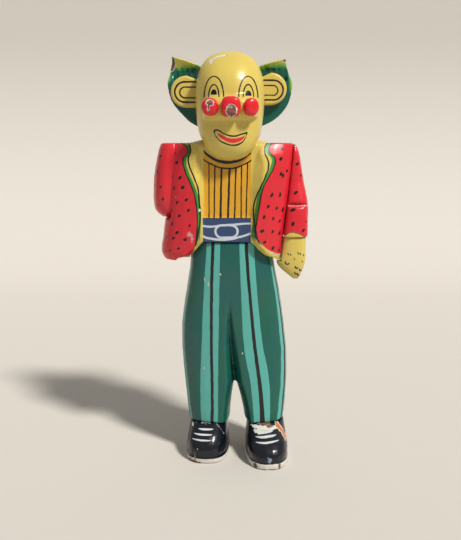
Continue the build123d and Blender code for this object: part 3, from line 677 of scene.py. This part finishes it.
# ---------------------------------------------------------------- ears
# Flat paddles tenoned into the head, each with two C-shaped brush lines on its front.
# Lines: where the bend starts, its level and radius, and half the line's width.
for node, side, loops in (
    ("right_ear", -1, [(-43.9, 361.0, 9.6, 0.9), (-43.6, 360.6, 5.1, 0.75)]),
    ("left_ear", 1, [(41.2, 362.8, 9.2, 0.85), (40.8, 362.6, 4.6, 0.6)]),
):
    ear = carved(node, fineness=0.6)
    paint = PaintJob(node + "_paint", YELLOW, waver=0.25)
    front = inside(paint.true_y - 4.0, 0.5)
    for bend_x, level, radius, half_width in loops:
        beyond = most((paint.x - bend_x) * side, 0.0)
        paint.line(length(beyond, paint.z - level) - radius, half_width, front)
    ear.data.materials.append(paint.done())

# ---------------------------------------------------------------- hair
# Swept-up tufts behind the ears; green, running to yellow at the rim.
# Rim and depth of the yellow go by distance out from the middle, and the outer edge by height,
# yellow from edge_foot up. Chip at the tip: distance out, level, half width, half height.
tufts = {
    "right_hair": dict(
        side=-1,
        rim=[(17, 380.5), (30.4, 386.5), (44, 391.5), (57.6, 395.5)],
        depth=[(28, -3.0), (36, 0.5), (44, 4.0), (50, 6.5), (57, 8.0)],
        edge=[(329, 32.8), (339, 46.6), (354, 58.4), (376, 61.6), (395.5, 57.6)],
        edge_foot=372.0,
        chip=(57.6, 388.6, 4.0, 7.8),
    ),
    "left_hair": dict(
        side=1,
        rim=[(17, 380.5), (28.5, 386), (42.9, 390.8), (54.5, 393)],
        depth=[(28, -1.5), (36, 0.5), (44, 2.0), (54, 3.5)],
        edge=[(329, 31.8), (337.5, 46.6), (351.5, 57.2), (373, 60.4), (393, 54.5)],
        edge_foot=364.0,
        chip=(53.2, 391.8, 3.0, 1.9),
    ),
}
# From green to yellow: how far each colour reaches past the yellow
fading = ((4.5, screen(70, 148, 62)), (2.4, screen(140, 176, 66)), (0.0, screen(208, 196, 84)))
FEATHER = 5.0  # mm from the longest to the shortest tooth of the brushed edge
for node, tuft in tufts.items():
    block = carved(node, fineness=0.8, rubbing=5)
    paint = PaintJob(node + "_paint", screen(6, 88, 76), gloss=0.22)
    out = paint.x * tuft["side"]
    feather = (Field(paint.cloud(2.4, 2.0, (1.0, 1.0, 5.0))) - 0.5) * FEATHER
    down = curve(out, tuft["rim"]) - paint.z + feather
    inward = curve(paint.z, tuft["edge"]) - out + feather * 0.4
    upper = inside(tuft["edge_foot"] - paint.z, 8.0)
    for reach, colour in fading:
        paint.lay(colour, inside(down - curve(out, tuft["depth"]) - reach, 2.2))
        paint.lay(colour, inside(inward - 1.2 - reach * 0.5, 1.4) * upper)
    paint.chip(oval(out, paint.z, *tuft["chip"]), 1.4, 0.4)
    block.data.materials.append(paint.done())

# ---------------------------------------------------------------- dowels
# Plain beech pins, hidden in the glued joints: the CAD solids as they are, with the pale wood.
beech = bpy.data.materials.new("beech_dowel")
beech.use_nodes = True
beech.node_tree.nodes["Principled BSDF"].inputs["Base Color"].default_value = screen(196, 160, 118)
beech.node_tree.nodes["Principled BSDF"].inputs["Roughness"].default_value = 0.7
for node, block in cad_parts.items():
    if node.endswith("_dowel"):
        block.data.materials.clear()
        block.data.materials.append(beech)

# ---------------------------------------------------------------- stage
# Pale seamless sheet, a soft key from the upper right of the front, and an even sky, which the
# camera sees in about the colour of the sheet. The camera stands 0.75 m in front of the figure,
# with its eye at the level of the mouth, and looks down.
SHEET_HALF, SHEET_Y, SHEET_RISE, SWEEP = 3.0, -1.6, 3.0, 0.6  # m; SWEEP is the back's curve
sheet = bmesh.new()
bmesh.ops.create_grid(sheet, x_segments=1, y_segments=1, size=SHEET_HALF)
bmesh.ops.translate(sheet, verts=sheet.verts, vec=(0, SHEET_Y, -0.2 * MM))
back_edge = [e for e in sheet.edges if all(v.co.y > SHEET_Y for v in e.verts)]
raised = bmesh.ops.extrude_edge_only(sheet, edges=back_edge)
upper_corners = [v for v in raised["geom"] if isinstance(v, bmesh.types.BMVert)]
bmesh.ops.translate(sheet, verts=upper_corners, vec=(0, 0, SHEET_RISE))
bmesh.ops.bevel(
    sheet, geom=back_edge, offset=SWEEP, segments=16, profile=0.5, affect="EDGES", material=-1,
)
for face in sheet.faces:
    face.smooth = True
floor_mesh = bpy.data.meshes.new("pale_sheet")
sheet.to_mesh(floor_mesh)
sheet.free()
floor = bpy.data.objects.new("pale_sheet", floor_mesh)
bpy.context.scene.collection.objects.link(floor)
paper = bpy.data.materials.new("pale_paper")
paper.use_nodes = True
paper.node_tree.nodes["Principled BSDF"].inputs["Base Color"].default_value = screen(205, 200, 192)
paper.node_tree.nodes["Principled BSDF"].inputs["Roughness"].default_value = 0.9
floor_mesh.materials.append(paper)

SKY_STRENGTH, KEY_STRENGTH, KEY_SPREAD = 0.27, 3.6, radians(8)
KEY_TURN, KEY_RISE = radians(44), radians(49)
world = bpy.data.worlds.new("even_sky")
world.use_nodes = True
sky = world.node_tree
sky.nodes["Background"].inputs["Color"].default_value = (0.93, 0.96, 1.0, 1.0)
sky.nodes["Background"].inputs["Strength"].default_value = SKY_STRENGTH
backdrop = sky.nodes.new("ShaderNodeBackground")
backdrop.inputs["Color"].default_value = screen(208, 204, 197)
seen = sky.nodes.new("ShaderNodeMixShader")
sky.links.new(sky.nodes.new("ShaderNodeLightPath").outputs["Is Camera Ray"], seen.inputs[0])
sky.links.new(sky.nodes["Background"].outputs[0], seen.inputs[1])
sky.links.new(backdrop.outputs[0], seen.inputs[2])
sky.links.new(seen.outputs[0], sky.nodes["World Output"].inputs["Surface"])
bpy.context.scene.world = world

lamp = bpy.data.lights.new("key", "SUN")
lamp.angle, lamp.energy, lamp.color = KEY_SPREAD, KEY_STRENGTH, (1.0, 0.97, 0.92)
key = bpy.data.objects.new("key", lamp)
toward = Vector((sin(KEY_TURN) * cos(KEY_RISE), -cos(KEY_TURN) * cos(KEY_RISE), sin(KEY_RISE)))
key.rotation_euler = toward.to_track_quat("Z", "Y").to_euler()
bpy.context.scene.collection.objects.link(key)

EYE_BACK, EYE_LEVEL, LOOK_DOWN = 747.5, 313.8, radians(9.56)
lens = bpy.data.cameras.new("camera")
lens.sensor_width, lens.lens = 36.0, 50.7
camera = bpy.data.objects.new("camera", lens)
camera.location = (0.0, -EYE_BACK * MM, EYE_LEVEL * MM)
camera.rotation_euler = (radians(90) - LOOK_DOWN, 0, 0)
bpy.context.scene.collection.objects.link(camera)
bpy.context.scene.camera = camera
bpy.context.scene.view_settings.view_transform = "Standard"
